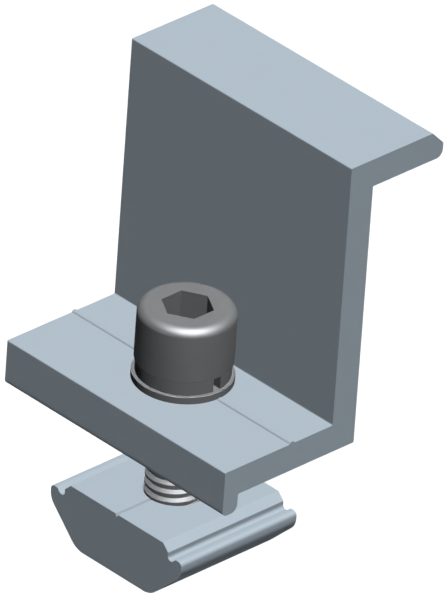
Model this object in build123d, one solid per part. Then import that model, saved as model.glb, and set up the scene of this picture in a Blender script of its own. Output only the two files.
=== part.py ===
from build123d import *
import math
import os

# End clamp for the last solar module of a row. An extruded bracket laps over the module's
# frame, and a cap screw with two washers pulls it down on a nut that grips the rail inside.
# Millimetres. The screw stands on Z, the extrusions' cut ends face X (bracket) and Y (nut),
# the module lies on the +Y side and z = 0 is the rail's top face.

# Bracket
frame_height = 40.0      # module frame that fits under the top flange
bracket_length = 40.0    # cut length of the extrusion
top_thickness = 4.0
web_thickness = 4.0
base_thickness = 4.0
top_reach = 12.0         # how far the top flange laps over the module
tip_round = 1.0          # lower edge of the top flange's tip
front_margin = 7.0       # base flange from the screw hole's edge to its front face
foot_width = 2.5         # foot under the base flange's front edge
foot_drop = 2.5
foot_inner_round = 1.0
foot_front_round = 0.8
bead_width = 0.8         # small rib along the base flange, over the hole's centre line
bead_height = 0.3
edge_break = 0.15        # every other edge of the two extrusions

# Screw with hexagon socket, and its washers
thread_dia = 8.0
head_rim = 2.365         # head past the thread, measured along the radius
head_height = 7.64
head_round = 1.25
socket_across_flats = 6.0
socket_depth = 4.4
screw_point = 0.8        # chamfer at the thread's end
spring_thickness = 2.0
spring_ring = 2.05       # width of the split washer's ring
spring_gap = 1.2         # width of its split
flat_thickness = 1.0
flat_ring = 2.4
washer_chamfer = 0.04    # all four edges of both washers

# Rail nut, loosened as shown
rail_gap = 10.0          # from the rail's top face down to the nut's crown
engagement = 5.5         # thread inside the nut
nut_width = 24.0
nut_height = 8.6
nut_length = 20.0
nut_shoulder = 3.4       # depth at which the sides start to slope in at 45 degrees
shoulder_round = 2.5
keel_round = 3.0
crown_chamfer = 1.0      # 45 degree edge of the raised crown
tooth_width = 1.1        # outer tooth that hooks behind the rail's lip
tooth_drop = 1.4         # from the crown down to the tooth
tooth_round = 0.6
groove_width = 1.4       # groove between crown and tooth
groove_depth = 0.6
groove_round = 0.5
mark_width = 0.45        # V line along the middle of the crown
mark_depth = 0.45
bore_chamfer = 0.15

# Clearances, all along the radius
hole_clearance = 0.5     # thread in the bracket's hole
spring_clearance = 0.1   # thread in the split washer
flat_clearance = 0.2     # thread in the flat washer
thread_clearance = 0.05  # thread in the nut
seat_clearance = 0.2     # flat washer in the gap that is milled in the bead
web_clearance = 0.4      # the widest of head and washers from the web

# Radii and heights that follow
thread_r = thread_dia / 2
head_r = thread_r + head_rim
spring_bore_r = thread_r + spring_clearance
spring_r = spring_bore_r + spring_ring
flat_bore_r = thread_r + flat_clearance
flat_r = flat_bore_r + flat_ring
hole_r = thread_r + hole_clearance

base_top = foot_drop + base_thickness
spring_bottom = base_top + flat_thickness
head_bottom = spring_bottom + spring_thickness
head_top = head_bottom + head_height
nut_top = -rail_gap
screw_tip = nut_top - engagement    # makes the screw 25 long under its head


def prism(plane, corners, length):
    """Extrusion both ways from the plane; each corner is (u, v, radius)."""
    path = FilletPolyline(
        *[(u, v) for u, v, _ in corners],
        radius=[radius for _, _, radius in corners],
        close=True,
    )
    return extrude(make_face(plane * path), amount=length / 2, both=True)


def turned(corners):
    """Solid of revolution about Z; each corner is (radius, z, rounding)."""
    path = FilletPolyline(
        *[(r, z) for r, z, _ in corners],
        radius=[rounding for _, _, rounding in corners],
        close=True,
    )
    return revolve(make_face(Plane.XZ * path), axis=Axis.Z)


def upright(radius, low, high):
    """Cylinder about Z between two heights."""
    return Pos(0, 0, (low + high) / 2) * Cylinder(radius, high - low)


def clamp_bracket():
    web_front = max(head_r, spring_r, flat_r) + web_clearance
    web_back = web_front + web_thickness
    tip = web_back + top_reach
    front = -hole_r - front_margin
    top = frame_height + top_thickness
    tip_chamfer = top_thickness / 2
    foot_limit = min(foot_width, foot_drop) / 2
    body = prism(
        Plane.YZ,
        [
            (front, 0, min(foot_front_round, foot_limit)),
            (front + foot_width, 0, min(foot_inner_round, foot_limit)),
            (front + foot_width, foot_drop, edge_break),
            (web_back, foot_drop, edge_break),
            (web_back, frame_height, edge_break),
            (tip, frame_height, min(tip_round, top_thickness / 4)),
            (tip, top - tip_chamfer, edge_break),
            (tip - tip_chamfer, top, edge_break),
            (web_front, top, edge_break),
            (web_front, base_top, edge_break),
            (front, base_top, edge_break),
        ],
        bracket_length,
    )
    # The bead is the part of a round bar that stands out of the flange
    bead_r = (bead_width**2 / 4 + bead_height**2) / (2 * bead_height)
    bar = Rot(0, 90, 0) * Cylinder(bead_r, bracket_length)
    bead = Pos(0, 0, base_top + bead_height - bead_r) * bar
    seat = upright(flat_r + seat_clearance, base_top, base_top + bead_height)
    hole = upright(hole_r, foot_drop, base_top)
    return body + bead - seat - hole


def cap_screw():
    body = turned(
        [
            (0, head_top, 0),
            (head_r, head_top, head_round),
            (head_r, head_bottom, 0),
            (thread_r, head_bottom, 0),
            (thread_r, screw_tip + screw_point, 0),
            (thread_r - screw_point, screw_tip, 0),
            (0, screw_tip, 0),
        ]
    )
    # The socket's flats face X, and its floor is a drill point of 120 degrees
    flat_r_socket = socket_across_flats / 2
    floor = head_top - socket_depth
    cone = flat_r_socket * math.tan(math.radians(30))
    hexagon = RegularPolygon(flat_r_socket, 6, major_radius=False, rotation=30)
    socket = extrude(Pos(0, 0, floor) * hexagon, amount=socket_depth)
    drill = Pos(0, 0, floor - cone / 2) * Cone(0, flat_r_socket, cone)
    return body - socket - drill


def washer(inner, outer, low, high):
    c = washer_chamfer
    return turned(
        [
            (inner + c, low, 0),
            (outer - c, low, 0),
            (outer, low + c, 0),
            (outer, high - c, 0),
            (outer - c, high, 0),
            (inner + c, high, 0),
            (inner, high - c, 0),
            (inner, low + c, 0),
        ]
    )


def spring_washer():
    ring = washer(spring_bore_r, spring_r, spring_bottom, head_bottom)
    middle = (spring_bottom + head_bottom) / 2
    split = Pos(spring_r / 2, 0, middle) * Box(spring_r, spring_gap, spring_thickness)
    return ring - split


def flat_washer():
    return washer(flat_bore_r, flat_r, base_top, spring_bottom)


def rail_nut():
    side = nut_width / 2
    bottom = nut_top - nut_height
    keel = side - (nut_height - nut_shoulder)
    tooth = nut_top - tooth_drop
    groove = tooth - groove_depth
    tooth_in = side - tooth_width
    wall = tooth_in - groove_width
    crown = wall - crown_chamfer
    mark = mark_width / 2
    right = [
        (mark, nut_top, 0),
        (crown, nut_top, edge_break),
        (wall, nut_top - crown_chamfer, edge_break),
        (wall, groove, groove_round),
        (tooth_in - groove_depth, groove, groove_round),
        (tooth_in, tooth, edge_break),
        (side, tooth, tooth_round),
        (side, nut_top - nut_shoulder, shoulder_round),
        (keel, bottom, keel_round),
    ]
    left = [(-x, z, radius) for x, z, radius in reversed(right)]
    body = prism(Plane.XZ, [(0, nut_top - mark_depth, 0)] + right + left, nut_length)
    bore_r = thread_r + thread_clearance
    mouth_r = bore_r + bore_chamfer
    upper = Pos(0, 0, nut_top - bore_chamfer / 2) * Cone(bore_r, mouth_r, bore_chamfer)
    lower = Pos(0, 0, bottom + bore_chamfer / 2) * Cone(mouth_r, bore_r, bore_chamfer)
    return body - upright(bore_r, bottom, nut_top) - upper - lower


os.makedirs("parts", exist_ok=True)
for make in (clamp_bracket, cap_screw, spring_washer, flat_washer, rail_nut):
    export_step(make(), f"parts/{make.__name__}.step")
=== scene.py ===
import math
import bmesh
import bpy
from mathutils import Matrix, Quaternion, Vector


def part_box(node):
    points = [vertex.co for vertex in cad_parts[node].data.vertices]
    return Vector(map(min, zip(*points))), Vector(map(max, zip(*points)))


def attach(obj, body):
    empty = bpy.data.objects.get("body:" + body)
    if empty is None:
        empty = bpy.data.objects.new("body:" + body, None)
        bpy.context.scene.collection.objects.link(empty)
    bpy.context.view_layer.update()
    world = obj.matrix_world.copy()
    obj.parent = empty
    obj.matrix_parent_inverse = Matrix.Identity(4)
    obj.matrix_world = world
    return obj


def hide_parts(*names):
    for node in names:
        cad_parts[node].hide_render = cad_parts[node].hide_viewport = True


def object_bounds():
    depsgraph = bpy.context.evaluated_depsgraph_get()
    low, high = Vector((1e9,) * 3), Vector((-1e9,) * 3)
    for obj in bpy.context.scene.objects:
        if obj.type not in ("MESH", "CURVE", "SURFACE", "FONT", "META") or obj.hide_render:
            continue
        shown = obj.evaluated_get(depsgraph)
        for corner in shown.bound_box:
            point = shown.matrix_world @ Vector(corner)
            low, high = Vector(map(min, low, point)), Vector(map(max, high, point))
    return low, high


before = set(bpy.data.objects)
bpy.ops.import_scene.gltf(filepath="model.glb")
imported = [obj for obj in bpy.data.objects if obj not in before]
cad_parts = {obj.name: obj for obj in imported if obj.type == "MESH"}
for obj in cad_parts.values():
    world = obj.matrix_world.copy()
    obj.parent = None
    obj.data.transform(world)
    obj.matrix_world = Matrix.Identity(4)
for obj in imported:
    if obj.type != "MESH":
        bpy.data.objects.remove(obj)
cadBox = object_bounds()
mm = 0.001
print("frame loaded:", ", ".join(sorted(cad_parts)))


# Nodes are wired with Python expressions: a Wire is one output socket

class Wire:
    def __init__(self, graph, socket):
        self.graph = graph
        self.socket = socket

    def math(self, operation, *others, flip=False):
        operands = [self, *others]
        if flip:
            operands.reverse()
        settings = {"operation": operation}
        return self.graph.node("ShaderNodeMath", settings, dict(enumerate(operands)))

    def vectorMath(self, operation, *others):
        settings = {"operation": operation}
        return self.graph.node("ShaderNodeVectorMath", settings, dict(enumerate([self, *others])))

    # another output of the same node, by name or number
    def sibling(self, name):
        return Wire(self.graph, self.socket.node.outputs[name])

    def __add__(self, other):
        return self.math("ADD", other)

    def __sub__(self, other):
        return self.math("SUBTRACT", other)

    def __mul__(self, other):
        return self.math("MULTIPLY", other)

    def __rsub__(self, other):
        return self.math("SUBTRACT", other, flip=True)

    def __gt__(self, other):
        return self.math("GREATER_THAN", other)

    __radd__ = __add__
    __rmul__ = __mul__


class Graph:
    def __init__(self, tree):
        self.tree = tree

    # settings are put on the node first, inputs are values or wires by socket name or number
    def node(self, kind, settings=None, inputs=None, output=0):
        made = self.tree.nodes.new(kind)
        for name, value in (settings or {}).items():
            setattr(made, name, value)
        for name, value in (inputs or {}).items():
            self.feed(made.inputs[name], value)
        return Wire(self, made.outputs[output]) if len(made.outputs) else None

    def feed(self, socket, value):
        if isinstance(value, Wire):
            self.tree.links.new(value.socket, socket)
        else:
            socket.default_value = value


# Camera: a very long lens from far away, because the picture is a parallel projection

cameraLook = {
    "azimuth": 44.477,             # degrees, from -Y round towards +X
    "elevation": 31.24,
    "roll": 4.108,                 # the screw's axis leans to the right in the picture
    "lens": 1200.0,                # mm, as is the sensor, which spans the picture's height
    "sensor": 36.0,
    "pictureHeight": 74.814 * mm,  # what the picture shows at the aim point
    "aim": (-0.136 * mm, 6.255 * mm, 15.721 * mm),
}


def backVector(azimuth, elevation):
    a, e = math.radians(azimuth), math.radians(elevation)
    return Vector((math.sin(a) * math.cos(e), -math.cos(a) * math.cos(e), math.sin(e)))


def addCamera(look):
    distance = look["pictureHeight"] * look["lens"] / look["sensor"]
    data = bpy.data.cameras.new("camera")
    data.lens = look["lens"]
    data.sensor_width = look["sensor"]
    data.clip_start = distance / 2
    data.clip_end = distance * 2
    camera = bpy.data.objects.new("camera", data)
    bpy.context.scene.collection.objects.link(camera)
    back = backVector(look["azimuth"], look["elevation"])
    camera.location = Vector(look["aim"]) + back * distance
    camera.rotation_mode = "QUATERNION"
    roll = Quaternion((0, 0, 1), math.radians(look["roll"]))
    camera.rotation_quaternion = back.to_track_quat("Z", "Y") @ roll
    bpy.context.scene.camera = camera


addCamera(cameraLook)
print("camera placed")


# Material helpers. A noise lies round 0.5, so 0.5 is taken off it where it varies a value

def srgb(red, green, blue):
    channels = [c / 255 for c in (red, green, blue)]
    linear = [c / 12.92 if c <= 0.04045 else ((c + 0.055) / 1.055) ** 2.4 for c in channels]
    return (*linear, 1.0)


def newMaterial(name):
    material = bpy.data.materials.new(name)
    material.use_nodes = True
    material.node_tree.nodes.clear()
    return material, Graph(material.node_tree)


def noise(graph, space, scale, detail):
    values = {"Vector": space, "Scale": scale, "Detail": detail}
    return graph.node("ShaderNodeTexNoise", {}, values)


# shade multiplies the look's colour, spread is added to its roughness, height makes the bumps
def finishSurface(graph, look, shade, spread, height):
    colour = graph.node("ShaderNodeVectorMath", {"operation": "SCALE"},
                        {0: look["colour"][:3], "Scale": shade})
    shader = graph.node("ShaderNodeBsdfPrincipled", {}, {
        "Base Color": colour,
        "Metallic": look["metallic"],
        "Roughness": look["roughness"] + spread,
        "Specular IOR Level": look["specular"],
        "Specular Tint": look["edgeTint"],
        "Normal": graph.node("ShaderNodeBump", {}, {"Height": height, "Distance": 1.0}),
    })
    graph.node("ShaderNodeOutputMaterial", {}, {"Surface": shader})


# Anodised aluminium extrusions: faint die lines along the profile, saw marks on the cut ends

aluminiumLook = {
    "colour": srgb(185, 199, 210),
    "metallic": 0.14,
    "roughness": 0.5,
    "roughnessSpread": 0.12,
    "grainScale": 2600.0,      # of the noise that spreads it, per metre
    "specular": 0.0,
    "edgeTint": (0.2, 0.2, 0.2, 1),
    "cloud": 0.03,             # share by which the colour drifts over the piece
    "cloudScale": 180.0,
    "lineCloud": 0.5,          # how much of that share the die lines' colour has
    "lineSpacing": 0.25 * mm,
    "lineLength": 30 * mm,
    "lineDepth": 0.0016 * mm,
    "sawSpacing": 0.32 * mm,
    "sawDepth": 0.0022 * mm,
    "sawWobble": 9.0,          # radians by which the drift bends the saw's arcs
    "bladeCentre": -60 * mm,   # below and beside the profile
}


def aluminium(name, extrudedAlong, cutAt, look):
    material, graph = newMaterial(name)
    coords = graph.node("ShaderNodeTexCoord", output="Object")
    stretch = [1 / look["lineSpacing"]] * 3
    stretch[extrudedAlong] = 1 / look["lineLength"]
    lineSpace = graph.node("ShaderNodeMapping", {}, {"Vector": coords, "Scale": stretch})
    dieLines = noise(graph, lineSpace, 1.0, detail=3.0)
    place = graph.node("ShaderNodeSeparateXYZ", {}, {"Vector": coords})
    cut = place.sibling(extrudedAlong).math("ABSOLUTE") > cutAt    # at both ends alike
    # the saw's teeth leave shallow arcs round the blade's centre
    bladeCentre = [look["bladeCentre"]] * 3
    bladeCentre[extrudedAlong] = 0
    flatten = [1.0] * 3
    flatten[extrudedAlong] = 0
    inPlane = coords.vectorMath("SUBTRACT", bladeCentre).vectorMath("MULTIPLY", flatten)
    reach = inPlane.vectorMath("LENGTH").sibling("Value")
    drift = noise(graph, coords, look["cloudScale"], detail=2.0)
    sawArcs = (reach * (2 * math.pi / look["sawSpacing"]) + drift * look["sawWobble"]).math("SINE")
    height = dieLines * look["lineDepth"] * (1 - cut) + sawArcs * look["sawDepth"] * cut
    lineShade = (dieLines - 0.5) * look["cloud"] * look["lineCloud"]
    shade = 1 + (drift - 0.5) * look["cloud"] + lineShade
    grain = noise(graph, coords, look["grainScale"], detail=2.0)
    spread = (grain - 0.5) * look["roughnessSpread"]
    finishSurface(graph, look, shade, spread, height)
    return material


# Dark satin steel of screw and washers

steelLook = {
    "colour": srgb(130, 132, 134),
    "metallic": 0.046,
    "roughness": 0.456,
    "roughnessSpread": 0.1,
    "specular": 0.0,
    "edgeTint": (0.2, 0.2, 0.2, 1),
    "cloud": 0.05,
    "cloudScale": 420.0,       # per metre
    "pitScale": 5200.0,
    "pitDepth": 0.0012 * mm,
}
washerLook = {
    **steelLook,
    "colour": srgb(146, 149, 151),
    "metallic": 0.012,         # duller than the screw, so that their rims carry no bright line
}


def steel(name, look):
    material, graph = newMaterial(name)
    coords = graph.node("ShaderNodeTexCoord", output="Object")
    drift = noise(graph, coords, look["cloudScale"], detail=3.0)
    pits = noise(graph, coords, look["pitScale"], detail=2.0)
    shade = 1 + (drift - 0.5) * look["cloud"]
    spread = (drift - 0.5) * look["roughnessSpread"]
    finishSurface(graph, look, shade, spread, pits * look["pitDepth"])
    return material


def dressNode(name, material):
    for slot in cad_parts[name].material_slots:
        slot.material = material


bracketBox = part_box("clamp_bracket")
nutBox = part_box("rail_nut")
sawnSkin = 0.02 * mm    # how near the end plane counts as the cut face
bracketAluminium = aluminium("bracketAluminium", 0, bracketBox[1].x - sawnSkin, aluminiumLook)
nutAluminium = aluminium("nutAluminium", 1, nutBox[1].y - sawnSkin, aluminiumLook)
screwSteel = steel("screwSteel", steelLook)
washerSteel = steel("washerSteel", washerLook)
dressNode("clamp_bracket", bracketAluminium)
dressNode("rail_nut", nutAluminium)
dressNode("spring_washer", washerSteel)
dressNode("flat_washer", washerSteel)
print("materials made")


# Mesh helpers

def newObject(name, mesh):
    piece = bpy.data.objects.new(name, mesh)
    bpy.context.scene.collection.objects.link(piece)
    return piece


def closedObject(name, bm):
    bmesh.ops.recalc_face_normals(bm, faces=bm.faces)
    mesh = bpy.data.meshes.new(name)
    bm.to_mesh(mesh)
    bm.free()
    return newObject(name, mesh)


def vertexRing(bm, radius, z, angles):
    return [bm.verts.new((radius * math.cos(a), radius * math.sin(a), z)) for a in angles]


# Outline points of a rounded upper edge, from the side to the top
def quarterRound(centreR, centreZ, radius, steps):
    angles = [math.radians(90 * i / steps) for i in range(steps + 1)]
    return [(centreR + radius * math.cos(a), centreZ + radius * math.sin(a)) for a in angles]


# A solid of revolution about Z: the outline starts and ends on the axis, or closes on itself
def lathe(name, outline, segments):
    bm = bmesh.new()
    angles = [2 * math.pi * i / segments for i in range(segments)]
    rings = []
    for radius, z in outline:
        if radius == 0:
            rings.append([bm.verts.new((0, 0, z))] * segments)
        else:
            rings.append(vertexRing(bm, radius, z, angles))
    if outline[0][0] > 0:
        rings.append(rings[0])
    for lower, upper in zip(rings, rings[1:]):
        for i in range(segments):
            j = (i + 1) % segments
            # beside the axis two corners are one vertex, and the face is a triangle
            corners = dict.fromkeys([lower[i], lower[j], upper[j], upper[i]])
            bm.faces.new(corners)
    return closedObject(name, bm)


def bake(piece):
    graph = bpy.context.evaluated_depsgraph_get()
    mesh = bpy.data.meshes.new_from_object(piece.evaluated_get(graph))
    piece.modifiers.clear()
    piece.data = mesh
    return piece


def combine(piece, other, operation):
    modifier = piece.modifiers.new("combine", "BOOLEAN")
    modifier.object = other
    modifier.operation = operation
    modifier.solver = "EXACT"
    bake(piece)
    bpy.data.objects.remove(other)


def finishPiece(piece, material, sharpAngle):
    piece.data.materials.clear()
    piece.data.materials.append(material)
    for polygon in piece.data.polygons:
        polygon.use_smooth = True
    piece.data.set_sharp_from_angle(angle=math.radians(sharpAngle))


# Thread: a strip of one pitch is wound up a helix, and its neighbouring turns are welded.
# Screw and nut share it, so their turns lie in each other's gaps at every pose

threadLook = {
    "Pitch": 1.25 * mm,
    "Crest Radius": 3.92 * mm,
    "Root Radius": 3.39 * mm,
    "Crest Width": 0.36 * mm,
    "Root Width": 0.28 * mm,
    "Phase": math.radians(-31),    # a crest meets the nut's crown where the picture shows it
    "Weld": 0.002 * mm,            # how near two vertices become one
    "Facets": 72,
}


def threadTree():
    tree = bpy.data.node_groups.new("thread", "GeometryNodeTree")
    inputs = {
        "NodeSocketFloat": ("Pitch", "Crest Radius", "Root Radius", "Crest Width", "Root Width",
                            "Start", "Phase", "Weld"),
        "NodeSocketInt": ("Turns", "Facets"),
        "NodeSocketMaterial": ("Material",),
    }
    for kind, names in inputs.items():
        for name in names:
            tree.interface.new_socket(name, in_out="INPUT", socket_type=kind)
    tree.interface.new_socket("Geometry", in_out="OUTPUT", socket_type="NodeSocketGeometry")
    graph = Graph(tree)
    given = graph.node("NodeGroupInput").socket.node
    size = {socket.name: Wire(graph, socket) for socket in given.outputs if socket.name}

    # corners of the strip: both edges of a crest, both of the root above it, and the next crest
    flank = (size["Pitch"] - size["Crest Width"] - size["Root Width"]) * 0.5
    rootStart = size["Crest Width"] + flank
    rises = [0.0, size["Crest Width"], rootStart, rootStart + size["Root Width"], size["Pitch"]]
    radii = [size[level + " Radius"] for level in ("Crest", "Crest", "Root", "Root", "Crest")]

    strip = graph.node("GeometryNodeMeshGrid", {}, {
        "Size X": 1.0, "Size Y": 1.0,
        "Vertices X": size["Turns"] * size["Facets"] + 1, "Vertices Y": len(rises),
    }, output="Mesh")
    position = graph.node("GeometryNodeInputPosition")
    place = graph.node("ShaderNodeSeparateXYZ", {}, {"Vector": position})
    along = place.sibling("X") + 0.5
    across = place.sibling("Y") + 0.5
    corner = (across * (len(rises) - 1)).math("ROUND")

    def pick(values):
        switch = graph.node("GeometryNodeIndexSwitch", {"data_type": "FLOAT"}).socket.node
        while len(switch.index_switch_items) < len(values):
            switch.index_switch_items.new()
        for socket, value in zip(switch.inputs, [corner, *values]):
            graph.feed(socket, value)
        return Wire(graph, switch.outputs[0])

    turn = along * size["Turns"]
    angle = turn * (2 * math.pi) + size["Phase"]
    radius = pick(radii)
    height = size["Start"] + turn * size["Pitch"] + pick(rises)
    wound = graph.node("ShaderNodeCombineXYZ", {}, {
        "X": radius * angle.math("COSINE"), "Y": radius * angle.math("SINE"), "Z": height,
    })
    placed = graph.node("GeometryNodeSetPosition", {}, {"Geometry": strip, "Position": wound})
    welded = graph.node("GeometryNodeMergeByDistance", {}, {
        "Geometry": placed, "Distance": size["Weld"],
    })
    real = graph.node("GeometryNodeRealizeInstances", {}, {"Geometry": welded})
    coated = graph.node("GeometryNodeSetMaterial", {}, {
        "Geometry": real, "Material": size["Material"],
    })
    graph.node("NodeGroupOutput", {}, {"Geometry": coated})
    return tree


def runTree(name, tree, values):
    piece = newObject(name, bpy.data.meshes.new(name))
    modifier = piece.modifiers.new("nodes", "NODES")
    modifier.node_group = tree
    for item in tree.interface.items_tree:
        if item.item_type == "SOCKET" and item.in_out == "INPUT" and item.name in values:
            modifier[item.identifier] = values[item.name]
    return bake(piece)


# Closes each open end of a wound thread with a fan to the axis
def closeEnds(piece):
    bm = bmesh.new()
    bm.from_mesh(piece.data)
    middle = sum(v.co.z for v in bm.verts) / len(bm.verts)
    edges = [edge for edge in bm.edges if edge.is_boundary]
    for low in (True, False):
        loop = [e for e in edges if (sum(v.co.z for v in e.verts) / 2 < middle) == low]
        height = sum(v.co.z for e in loop for v in e.verts) / (2 * len(loop))
        hub = bm.verts.new((0, 0, height))
        for edge in loop:
            bm.faces.new((*edge.verts, hub))
    bmesh.ops.recalc_face_normals(bm, faces=bm.faces)
    bm.to_mesh(piece.data)
    bm.free()


# A threaded rod that reaches past both heights; swell widens it to cut a nut's thread
def threadedRod(name, tree, look, low, high, swell, material):
    pitch = look["Pitch"]
    turnsBelow, turnsAbove = 2, 1    # so that both open ends lie past the heights
    start = (math.floor(low / pitch) - turnsBelow) * pitch
    rod = runTree(name, tree, {
        **look,
        "Crest Radius": look["Crest Radius"] + swell,
        "Root Radius": look["Root Radius"] + swell,
        "Start": start,
        "Turns": math.ceil((high - start) / pitch) + turnsAbove,
        "Material": material,
    })
    closeEnds(rod)
    return rod


# Cap screw: turned head with a hexagon socket, on a shank with a real thread

screwLook = {
    "headRound": 1.25 * mm,
    "roundSteps": 16,
    "seatInset": 0.05 * mm,       # chamfer round the head's underside
    "socketAcrossFlats": 6.0 * mm,
    "socketDepth": 4.4 * mm,
    "drillRadius": 2.9 * mm,
    "drillPoint": 120,            # degrees
    "cutterAbove": 1 * mm,        # how far the cutters stand out of the head
    "shankRadius": 4.0 * mm,
    "shankInHead": 0.5 * mm,      # how far it goes into the head, to be one with it
    "pointChamfer": 0.8 * mm,
    "segments": 144,
    "sharpAngle": 32,
}


def hexagonPrism(name, acrossFlats, low, high):
    bm = bmesh.new()
    cornerRadius = acrossFlats / math.sqrt(3)
    angles = [math.radians(30 + 60 * i) for i in range(6)]    # flats face X
    bottom, top = [vertexRing(bm, cornerRadius, z, angles) for z in (low, high)]
    for i in range(6):
        j = (i + 1) % 6
        bm.faces.new((bottom[i], bottom[j], top[j], top[i]))
    bm.faces.new(bottom)
    bm.faces.new(top)
    return closedObject(name, bm)


def makeScrew(look, tree, material):
    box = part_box("cap_screw")
    top, tip, headRadius = box[1].z, box[0].z, box[1].x
    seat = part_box("spring_washer")[1].z
    bend, inset = look["headRound"], look["seatInset"]
    head = lathe("capScrew", [
        (0, seat), (headRadius - inset, seat), (headRadius, seat + inset),
        *quarterRound(headRadius - bend, top - bend, bend, look["roundSteps"]), (0, top),
    ], look["segments"])

    socketFloor = top - look["socketDepth"]
    above = top + look["cutterAbove"]
    socket = hexagonPrism("socket", look["socketAcrossFlats"], socketFloor, above)
    combine(head, socket, "DIFFERENCE")
    drillRadius = look["drillRadius"]
    cone = drillRadius * math.tan(math.radians(90 - look["drillPoint"] / 2))
    outline = [(0, socketFloor - cone), (drillRadius, socketFloor), (0, above)]
    combine(head, lathe("drill", outline, look["segments"]), "DIFFERENCE")

    shankRadius, chamfer = look["shankRadius"], look["pointChamfer"]
    shankTop = seat + look["shankInHead"]
    shank = threadedRod("shank", tree, threadLook, tip, shankTop, 0.0, material)
    blank = lathe("blank", [
        (0, tip), (shankRadius - chamfer, tip), (shankRadius, tip + chamfer),
        (shankRadius, shankTop), (0, shankTop),
    ], look["segments"])
    combine(shank, blank, "INTERSECT")
    combine(head, shank, "UNION")
    finishPiece(head, material, look["sharpAngle"])
    return head


thread = threadTree()
capScrew = makeScrew(screwLook, thread, screwSteel)
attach(capScrew, "screw")
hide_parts("cap_screw")
print("screw made:", len(capScrew.data.polygons), "faces")


# The nut's own thread, which lines its bore and can be seen from below

nutThreadLook = {
    "outerRadius": 4.07 * mm,    # a little way into the bore's wall
    "innerRadius": 3.3 * mm,
    "mouth": 0.15 * mm,          # countersink that the nut's solid already has
    "clearance": 0.06 * mm,      # along the radius, between the two threads
    "segments": 96,
    "sharpAngle": 32,
}


def makeNutThread(look, tree, material):
    low, high = nutBox[0].z + look["mouth"], nutBox[1].z - look["mouth"]
    outer, inner = look["outerRadius"], look["innerRadius"]
    sink = outer - inner
    ring = lathe("nutThread", [
        (outer, low), (outer, high), (inner, high - sink), (inner, low + sink),
    ], look["segments"])
    tap = threadedRod("tap", tree, threadLook, low, high, look["clearance"], material)
    combine(ring, tap, "DIFFERENCE")
    finishPiece(ring, material, look["sharpAngle"])
    return ring


nutThread = makeNutThread(nutThreadLook, thread, nutAluminium)
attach(nutThread, "nut")
print("nut's thread made:", len(nutThread.data.polygons), "faces")


# World and floor. The camera and the metal see both as pale, but they don't light the clamp

floorLook = {
    "below": 70 * mm,           # the clamp hangs free in the picture
    "size": 6.0,                # metres
    "colour": (0.82, 0.82, 0.82, 1),
    "bounceColour": (0.0, 0.0, 0.0, 1),    # for the rays that would light the clamp
}


def backgroundRay(graph):
    path = graph.node("ShaderNodeLightPath")
    names = ("Is Camera Ray", "Is Glossy Ray", "Is Transmission Ray")
    camera, glossy, through = [path.sibling(name) for name in names]
    return camera.math("MAXIMUM", glossy).math("MAXIMUM", through)


def addWorld():
    world = bpy.data.worlds.new("studio")
    world.use_nodes = True
    world.node_tree.nodes.clear()
    graph = Graph(world.node_tree)
    strength = backgroundRay(graph)
    air = graph.node("ShaderNodeBackground", {}, {"Color": (1, 1, 1, 1), "Strength": strength})
    graph.node("ShaderNodeOutputWorld", {}, {"Surface": air})
    bpy.context.scene.world = world


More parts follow.
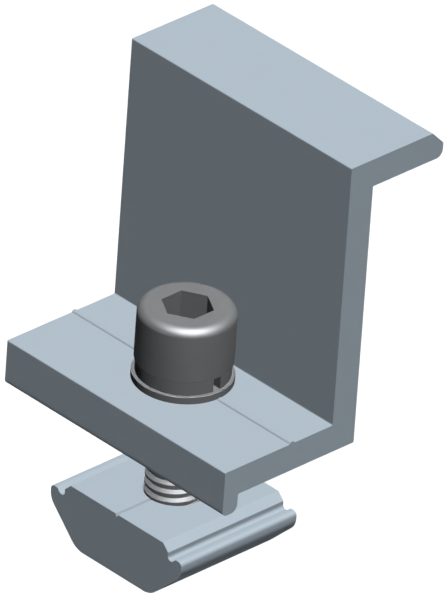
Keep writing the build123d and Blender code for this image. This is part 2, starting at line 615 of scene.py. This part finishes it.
def addFloor(look):
    material, graph = newMaterial("paleFloor")
    paper = graph.node("ShaderNodeBsdfDiffuse", {}, {"Color": look["colour"]})
    dark = graph.node("ShaderNodeBsdfDiffuse", {}, {"Color": look["bounceColour"]})
    front = graph.node("ShaderNodeMixShader", {}, {0: backgroundRay(graph), 1: dark, 2: paper})
    under = graph.node("ShaderNodeNewGeometry", output="Backfacing")
    clear = graph.node("ShaderNodeBsdfTransparent")    # lets a view from below see the part
    mixed = graph.node("ShaderNodeMixShader", {}, {0: under, 1: front, 2: clear})
    graph.node("ShaderNodeOutputMaterial", {}, {"Surface": mixed})
    half = look["size"] / 2
    level = cadBox[0].z - look["below"]
    corners = [(half * x, half * y, level) for x, y in ((-1, -1), (1, -1), (1, 1), (-1, 1))]
    mesh = bpy.data.meshes.new("floor")
    mesh.from_pydata(corners, [], [(0, 1, 2, 3)])
    mesh.materials.append(material)
    floor = newObject("floor", mesh)
    return floor


addWorld()
floor = addFloor(floorLook)
print("world and floor set")


# Suns. Those on the clamp cast no shadow, so its faces differ by direction alone, as in the
# picture. The floor has a sun of its own, which casts the clamp's shadow

glossFrom = (0.486, -0.232, 0.842)      # directions from the clamp to its suns
keyFrom = (0.3044, -0.0995, 0.9477)
sunLook = {    # width in degrees
    "steelGloss": {"source": glossFrom, "strength": 100.0, "width": 70, "highlightOnly": True},
    "gloss": {"source": glossFrom, "strength": 4.0, "width": 70, "highlightOnly": True},
    "key": {"source": keyFrom, "strength": 2.87, "width": 4},
    # wide, so that the sides behind get even light
    "back": {"source": (-0.50, 0.75, -0.25), "strength": 1.1, "width": 60},
    "floorLight": {"source": keyFrom, "strength": 1.5, "width": 20, "shadow": True},
}


def addSun(name, look):
    data = bpy.data.lights.new(name, "SUN")
    data.energy = look["strength"]
    data.angle = math.radians(look["width"])
    data.use_shadow = look.get("shadow", False)
    sun = bpy.data.objects.new(name, data)
    bpy.context.scene.collection.objects.link(sun)
    sun.rotation_mode = "QUATERNION"
    sun.rotation_quaternion = Vector(look["source"]).to_track_quat("Z", "Y")
    sun.visible_diffuse = not look.get("highlightOnly", False)
    return sun


def lightOnly(sun, pieces):
    group = bpy.data.collections.new(sun.name + "Lit")
    for piece in pieces:
        group.objects.link(piece)
    sun.light_linking.receiver_collection = group


steelPieces = [capScrew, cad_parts["spring_washer"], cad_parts["flat_washer"]]
aluminiumPieces = [nutThread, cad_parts["clamp_bracket"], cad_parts["rail_nut"]]
for piece in steelPieces + aluminiumPieces:
    piece.visible_diffuse = False    # the picture has no glow or dark corners between pieces
    piece.visible_glossy = False
litAlone = {"steelGloss": steelPieces, "floorLight": [floor]}    # the other suns light all
for name, look in sunLook.items():
    sun = addSun(name, look)
    if name in litAlone:
        lightOnly(sun, litAlone[name])
bpy.context.scene.view_settings.view_transform = "Standard"
print("suns set")
